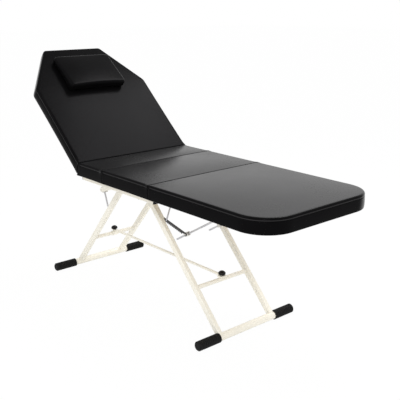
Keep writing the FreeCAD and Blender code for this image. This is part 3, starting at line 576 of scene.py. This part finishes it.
def finish_pad(name, rings, held, highlight_band, node, most):
    """A pad's cover: skinned, given a painted highlight along its seam, blown up by its foam and upholstered.
    """
    piece = skin(name, rings)
    # Faces on the band get the second material, the painted highlight.
    onward = np.roll(highlight_band, -1, axis=1)
    highlit = highlight_band[:-1] & highlight_band[1:] & onward[:-1] & onward[1:]
    piece.data.polygons.foreach_set("material_index", highlit.ravel().astype(np.int32))
    puff(piece, held.ravel(), most)
    close_up(piece)
    upholster(piece, FOAM_FILL, node)
    piece.data.materials.append(PAINTED_HIGHLIGHT_COVER)
    return piece


start, end = crease + PAD_GAP, line_two - PAD_GAP
rings, held, highlight_band = flat_pad(start, end, (start, end), PAD_CORNER, across_spine(start, end))
near_end = np.clip(1 - (rings[..., 0] - start) / END_LEAN, 0, 1)
rings[..., 0] -= (pad_high - rings[..., 2]) * lean_slope * near_end
rear_seat = finish_pad("rear_seat_cover", rings, held, highlight_band, "seat_pad_rear", SHORT_PUFF)
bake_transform(rear_seat)

start, end = line_two + PAD_GAP, leg_hinge.x - PAD_GAP
rings, held, highlight_band = flat_pad(start, end, (start, end), PAD_CORNER, across_spine(start, end))
front_seat = finish_pad("front_seat_cover", rings, held, highlight_band, "seat_pad_front", LONG_PUFF)
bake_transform(front_seat)

# Legrest: the longest pad, foam on its own board in the same cover. It is hinged to the seat frame,
# and its two foot corners are cut to a wide curve.
FOOT_CORNER = 0.130
LEGREST_SPINE = 0.02
start, end = leg_hinge.x + PAD_GAP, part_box("legrest_pad")[1].x
middle = (start + end) / 2
spine = ((middle - LEGREST_SPINE, 0.0), (middle + LEGREST_SPINE, 0.0))
rings, held, highlight_band = flat_pad(start, end, (start,), FOOT_CORNER, spine)
legrest = finish_pad("legrest_cover", rings, held, highlight_band, "legrest_pad", LONG_PUFF)
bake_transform(legrest)

# Backrest: a thinner foam pad on its own board in the same cover, which narrows to the head. It is
# hinged to the seat frame and held up by two stays.
BACK_LENGTH = 0.699
BACK_SHOULDER = 0.454
BACK_TOP_HALF = 0.1605
BACK_SEAT_HALF = half_width + 0.001
BACK_SHOULDER_HALF = half_width + 0.005
BACK_THICKNESS = 0.051
SHOULDER_RADIUS = 0.045
TOP_RADIUS = 0.022
SPINE_SHARE = 0.9
back_low = pad_high - BACK_THICKNESS
flat_crease = 2 * back_hinge.x - crease
head = flat_crease - BACK_LENGTH
shoulder = flat_crease - BACK_SHOULDER
lie_back = Matrix.Translation(back_hinge) @ Matrix.Rotation(recline, 4, "Y") @ Matrix.Translation(-back_hinge)
turn_back = np.array(lie_back)


def lean_back(rings):
    """Turns points drawn with the backrest lying flat up to the angle it rests at."""
    return rings @ turn_back[:3, :3].T + turn_back[:3, 3]


end = flat_crease - PAD_GAP
corners = [(head, -BACK_TOP_HALF), (shoulder, -BACK_SHOULDER_HALF), (end, -BACK_SEAT_HALF),
           (end, BACK_SEAT_HALF), (shoulder, BACK_SHOULDER_HALF), (head, BACK_TOP_HALF)]
radii = [TOP_RADIUS, SHOULDER_RADIUS, PAD_CORNER, PAD_CORNER, SHOULDER_RADIUS, TOP_RADIUS]
loop = rounded_loop(corners, radii)
spine = ((head + SPINE_SHARE * BACK_TOP_HALF, 0.0), (end - SPINE_SHARE * half_width, 0.0))
rings, held, highlight_band = pad_rings(loop, spine, back_low, pad_high, tight_near(loop, end), board_depth)
draw_in(rings, shoulder, end, half_width)
local_half = np.interp(rings[..., 0], (head, shoulder, end), (BACK_TOP_HALF, half_width, half_width))
raise_crown(rings, head, end, local_half, back_low, pad_high, CROWN)
near_end = np.clip(1 - (end - rings[..., 0]) / END_LEAN, 0, 1)
rings[..., 0] += (pad_high - rings[..., 2]) * lean_slope * near_end
backrest = finish_pad("backrest_cover", lean_back(rings), held, highlight_band, "backrest_pad", SHORT_PUFF)
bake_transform(backrest)

# Pillow: a wedge of soft foam in the same cover, thick at the neck and thinner at the head. Hook tape
# under it grips a strip of loop tape on the backrest, so it lifts off.
PILLOW_LENGTH = 0.212
PILLOW_HALF = 0.157
PILLOW_START = 0.406
PILLOW_NECK = 0.050
PILLOW_HEAD = 0.033
PILLOW_CORNER = 0.020
PILLOW_ROLL = 0.010
PILLOW_NECK_ROLL = 0.013
PILLOW_BROW_ROLL = 0.004
PILLOW_CROWN = 0.006
PILLOW_CROWN_FROM = 0.008
PILLOW_CROWN_TO = 0.030
PILLOW_CLEAR = 0.0006
PILLOW_HOLLOW = 0.006
PILLOW_HOLLOW_INSET = 0.02
PILLOW_RIM_INSET = 0.012
PILLOW_SEAM_INSET = 0.0012
PILLOW_SEAM_AT = 0.47
PILLOW_LOWER_SIDE = 0.42
PILLOW_UPPER_FROM = 0.5
PILLOW_UPPER_SIDE = 0.42
PILLOW_TOP = 0.92
PILLOW_TOP_RINGS = 18
PILLOW_PUFF = 0.006
PILLOW_FILL = 0.7
NECK_WAIST = 0.005
TAPE_STACK = 0.0034
TAPE = (0.012, 0.012, 0.013)
TAPE_ROWS = 300.0
TAPE_RELIEF = 0.0006
TAPE_ROUGH = 0.9
neck = flat_crease - PILLOW_START
brow = neck - PILLOW_LENGTH


def back_top(plan):
    """Height of the backrest's top at points of its plan as it lies flat: its crown is (1 - u^2)(1 - v^2)."""
    along = (2 * plan[:, 0] - head - flat_crease) / BACK_LENGTH
    half = np.interp(plan[:, 0], (head, shoulder), (BACK_TOP_HALF, half_width))
    return pad_high + CROWN * (1 - along ** 2) * (1 - (plan[:, 1] / half) ** 2)


def pillow_rings(loop, spine, floor):
    """Rings of the wedge: its underside lies at floor in the middle, and its rim rests on the backrest's top.

    The wedge's height falls in a straight line from neck to brow, and each ring lies at a share of it.
    """
    inward = inward_of(loop)
    heart = nearest_on(spine, loop)
    upward = np.clip((neck - loop[:, 0]) / PILLOW_LENGTH, 0, 1)
    top_roll = PILLOW_NECK_ROLL + (PILLOW_BROW_ROLL - PILLOW_NECK_ROLL) * upward
    rings = []
    held = []

    def ring(inset, pull, drop, lift, hold):
        """One ring: drop runs from 0 at the floor to 1 at the backrest, lift is a share of the height."""
        plan = (loop + inward * np.broadcast_to(inset, top_roll.shape)[:, None]) * (1 - pull) + heart * pull
        share = np.clip((neck - plan[:, 0]) / PILLOW_LENGTH, 0, 1)
        tall = PILLOW_NECK + (PILLOW_HEAD - PILLOW_NECK) * share
        low = floor + (back_top(plan) + PILLOW_CLEAR - floor) * drop
        rings.append(np.column_stack([plan, low + lift * tall]))
        held.append(np.full(len(loop), hold))

    for pull in (1.0, 0.7, 0.4, 0.15):
        ring(PILLOW_HOLLOW_INSET, pull, 0.0, 0.0, 1.0)
    ring(PILLOW_RIM_INSET, 0.0, 0.5, 0.0, 1.0)
    for turn in np.radians((0, 25, 50, 75, 90)):
        ring(PILLOW_ROLL * (1 - np.sin(turn)), 0.0, 1.0, PILLOW_LOWER_SIDE * (1 - np.cos(turn)), 0.0)
    ring(PILLOW_SEAM_INSET, 0.0, 1.0, PILLOW_SEAM_AT, 1.0)
    for turn in np.radians((10, 28, 46, 64, 80)):
        lift = PILLOW_UPPER_FROM + PILLOW_UPPER_SIDE * np.sin(turn)
        ring(top_roll * (1 - np.cos(turn)), 0.0, 1.0, lift, 0.0)
    for pull in np.linspace(0, 1, PILLOW_TOP_RINGS)[1:]:
        ring(top_roll, pull, 1.0, PILLOW_TOP, 0.0)
    return np.array(rings), np.array(held)


corners = [(brow, -PILLOW_HALF), (neck, -PILLOW_HALF), (neck, PILLOW_HALF), (brow, PILLOW_HALF)]
loop = rounded_loop(corners, [PILLOW_CORNER] * 4)
middle = (neck + brow) / 2
reach = PILLOW_HALF - PILLOW_LENGTH / 2
spine = ((middle, -reach), (middle, reach))
rings, held = pillow_rings(loop, spine, pad_high + PILLOW_HOLLOW + TAPE_STACK)
draw_in(rings, brow, neck, PILLOW_HALF)
near_neck = np.clip(1 - (neck - rings[..., 0]) / PILLOW_LENGTH, 0, 1) ** 4
rings[..., 0] -= NECK_WAIST * near_neck * np.clip(1 - (rings[..., 1] / PILLOW_HALF) ** 2, 0, 1)
raise_crown(rings, brow, neck, PILLOW_HALF, pad_high + PILLOW_CROWN_FROM, pad_high + PILLOW_CROWN_TO,
            PILLOW_CROWN)
pillow = skin("pillow_cover", lean_back(rings))
puff(pillow, held.ravel(), PILLOW_PUFF)
close_up(pillow)
upholster(pillow, PILLOW_FILL, "headrest_pillow")
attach(pillow, "pillow")


def woven_tape():
    """Close rows of hooks or loops, as fine bands across the tape."""
    material, tree, shader = new_material("woven_tape")
    where = place(tree, "ShaderNodeTexCoord").outputs["Object"]
    rows = place(tree, "ShaderNodeTexWave", Vector=where, Scale=TAPE_ROWS, Distortion=1.5,
                 bands_direction="Y")
    bump = place(tree, "ShaderNodeBump", Height=rows.outputs["Fac"], Distance=TAPE_RELIEF)
    tree.links.new(bump.outputs["Normal"], shader.inputs["Normal"])
    shader.inputs["Base Color"].default_value = (*TAPE, 1.0)
    shader.inputs["Roughness"].default_value = TAPE_ROUGH
    return material


coat(woven_tape(), "backrest_loop_strip", "pillow_hook_strip")

# Studio: a white floor that fades to a white background and keeps a faint shadow, soft light all round,
# and lamps above the near side, above the far side and beside the camera. A lamp has a place, size and power.
FLOOR_HALF = 30.0
FLOOR_WHITE = (0.97, 0.97, 0.97)
FLOOR_GLOW = 0.97
FLOOR_ROUGH = 0.9
SKY_FILL = 0.85
LAMP_AIM = (0.1, 0.0, 0.5)
LAMPS = {
    "near_softbox": ((-0.8, -1.9, 2.8), 0.9, 9.0),
    "far_softbox": ((-0.12, 1.4, 2.75), 1.2, 36.0),
    "front_softbox": ((2.6, -2.2, 2.4), 0.6, 32.0),
}


def seen_directly(tree):
    """1 for rays from the camera, a mirror-like surface or glass, and 0 for light that spreads."""
    path = place(tree, "ShaderNodeLightPath")
    first = place(tree, "ShaderNodeMath", operation="MAXIMUM")
    tree.links.new(path.outputs["Is Camera Ray"], first.inputs[0])
    tree.links.new(path.outputs["Is Glossy Ray"], first.inputs[1])
    both = place(tree, "ShaderNodeMath", operation="MAXIMUM")
    tree.links.new(first.outputs["Value"], both.inputs[0])
    tree.links.new(path.outputs["Is Transmission Ray"], both.inputs[1])
    return both.outputs["Value"]


world = bpy.data.worlds.new("studio")
bpy.context.scene.world = world
world.use_nodes = True
tree = world.node_tree
sky = tree.nodes["Background"]
bright = place(tree, "ShaderNodeMapRange", Value=seen_directly(tree), To_Min=SKY_FILL, To_Max=1.0)
sky.inputs["Color"].default_value = (1.0, 1.0, 1.0, 1.0)
tree.links.new(bright.outputs["Result"], sky.inputs["Strength"])

floor_mesh = bpy.data.meshes.new("floor")
corner = np.array([(-1, -1), (1, -1), (1, 1), (-1, 1)]) * FLOOR_HALF
floor_mesh.from_pydata([(x, y, 0.0) for x, y in corner], [], [(0, 1, 2, 3)])
floor = bpy.data.objects.new("floor", floor_mesh)
bpy.context.scene.collection.objects.link(floor)
floor_white, tree, shader = new_material("floor_white")
shader.inputs["Base Color"].default_value = (*FLOOR_WHITE, 1.0)
shader.inputs["Roughness"].default_value = FLOOR_ROUGH
shader.inputs["Specular IOR Level"].default_value = 0.0
glow = place(tree, "ShaderNodeEmission", Strength=1.0)
share = place(tree, "ShaderNodeMath", operation="MULTIPLY")
tree.links.new(seen_directly(tree), share.inputs[0])
share.inputs[1].default_value = FLOOR_GLOW
mixed = place(tree, "ShaderNodeMixShader", Fac=share.outputs["Value"])
tree.links.new(shader.outputs["BSDF"], mixed.inputs[1])
tree.links.new(glow.outputs["Emission"], mixed.inputs[2])
tree.links.new(mixed.outputs["Shader"], tree.nodes["Material Output"].inputs["Surface"])
floor_mesh.materials.append(floor_white)

for name, (spot, size, power) in LAMPS.items():
    lamp = bpy.data.lights.new(name, "AREA")
    lamp.shape = "SQUARE"
    lamp.size = size
    lamp.energy = power
    softbox = bpy.data.objects.new(name, lamp)
    softbox.location = spot
    softbox.rotation_mode = "QUATERNION"
    softbox.rotation_quaternion = (Vector(LAMP_AIM) - Vector(spot)).to_track_quat("-Z", "Y")
    bpy.context.scene.collection.objects.link(softbox)

# Camera: at head height off the near foot corner, looking down along the table. The place and turn were
# fitted to the photo; the frame is square.
CAMERA_PLACE = (2.2817, -1.819, 1.304)
CAMERA_YAW = 139.2
CAMERA_DOWN = 16.13
CAMERA_ROLL = -0.11
CAMERA_LENS = 61.15
CAMERA_SENSOR = 36.0
yaw, down, roll = (math.radians(angle) for angle in (CAMERA_YAW, CAMERA_DOWN, CAMERA_ROLL))
ahead = Vector((math.cos(yaw) * math.cos(down), math.sin(yaw) * math.cos(down), -math.sin(down)))
right = ahead.cross(Vector((0, 0, 1))).normalized()
up = right.cross(ahead)
turned_right = right * math.cos(roll) + up * math.sin(roll)
turned_up = up * math.cos(roll) - right * math.sin(roll)
facing = Matrix((turned_right, turned_up, -ahead)).transposed().to_4x4()
lens = bpy.data.cameras.new("camera")
lens.lens = CAMERA_LENS
lens.sensor_width = CAMERA_SENSOR
camera = bpy.data.objects.new("camera", lens)
camera.matrix_world = Matrix.Translation(CAMERA_PLACE) @ facing
bpy.context.scene.collection.objects.link(camera)
bpy.context.scene.camera = camera
bpy.context.scene.view_settings.view_transform = "Standard"
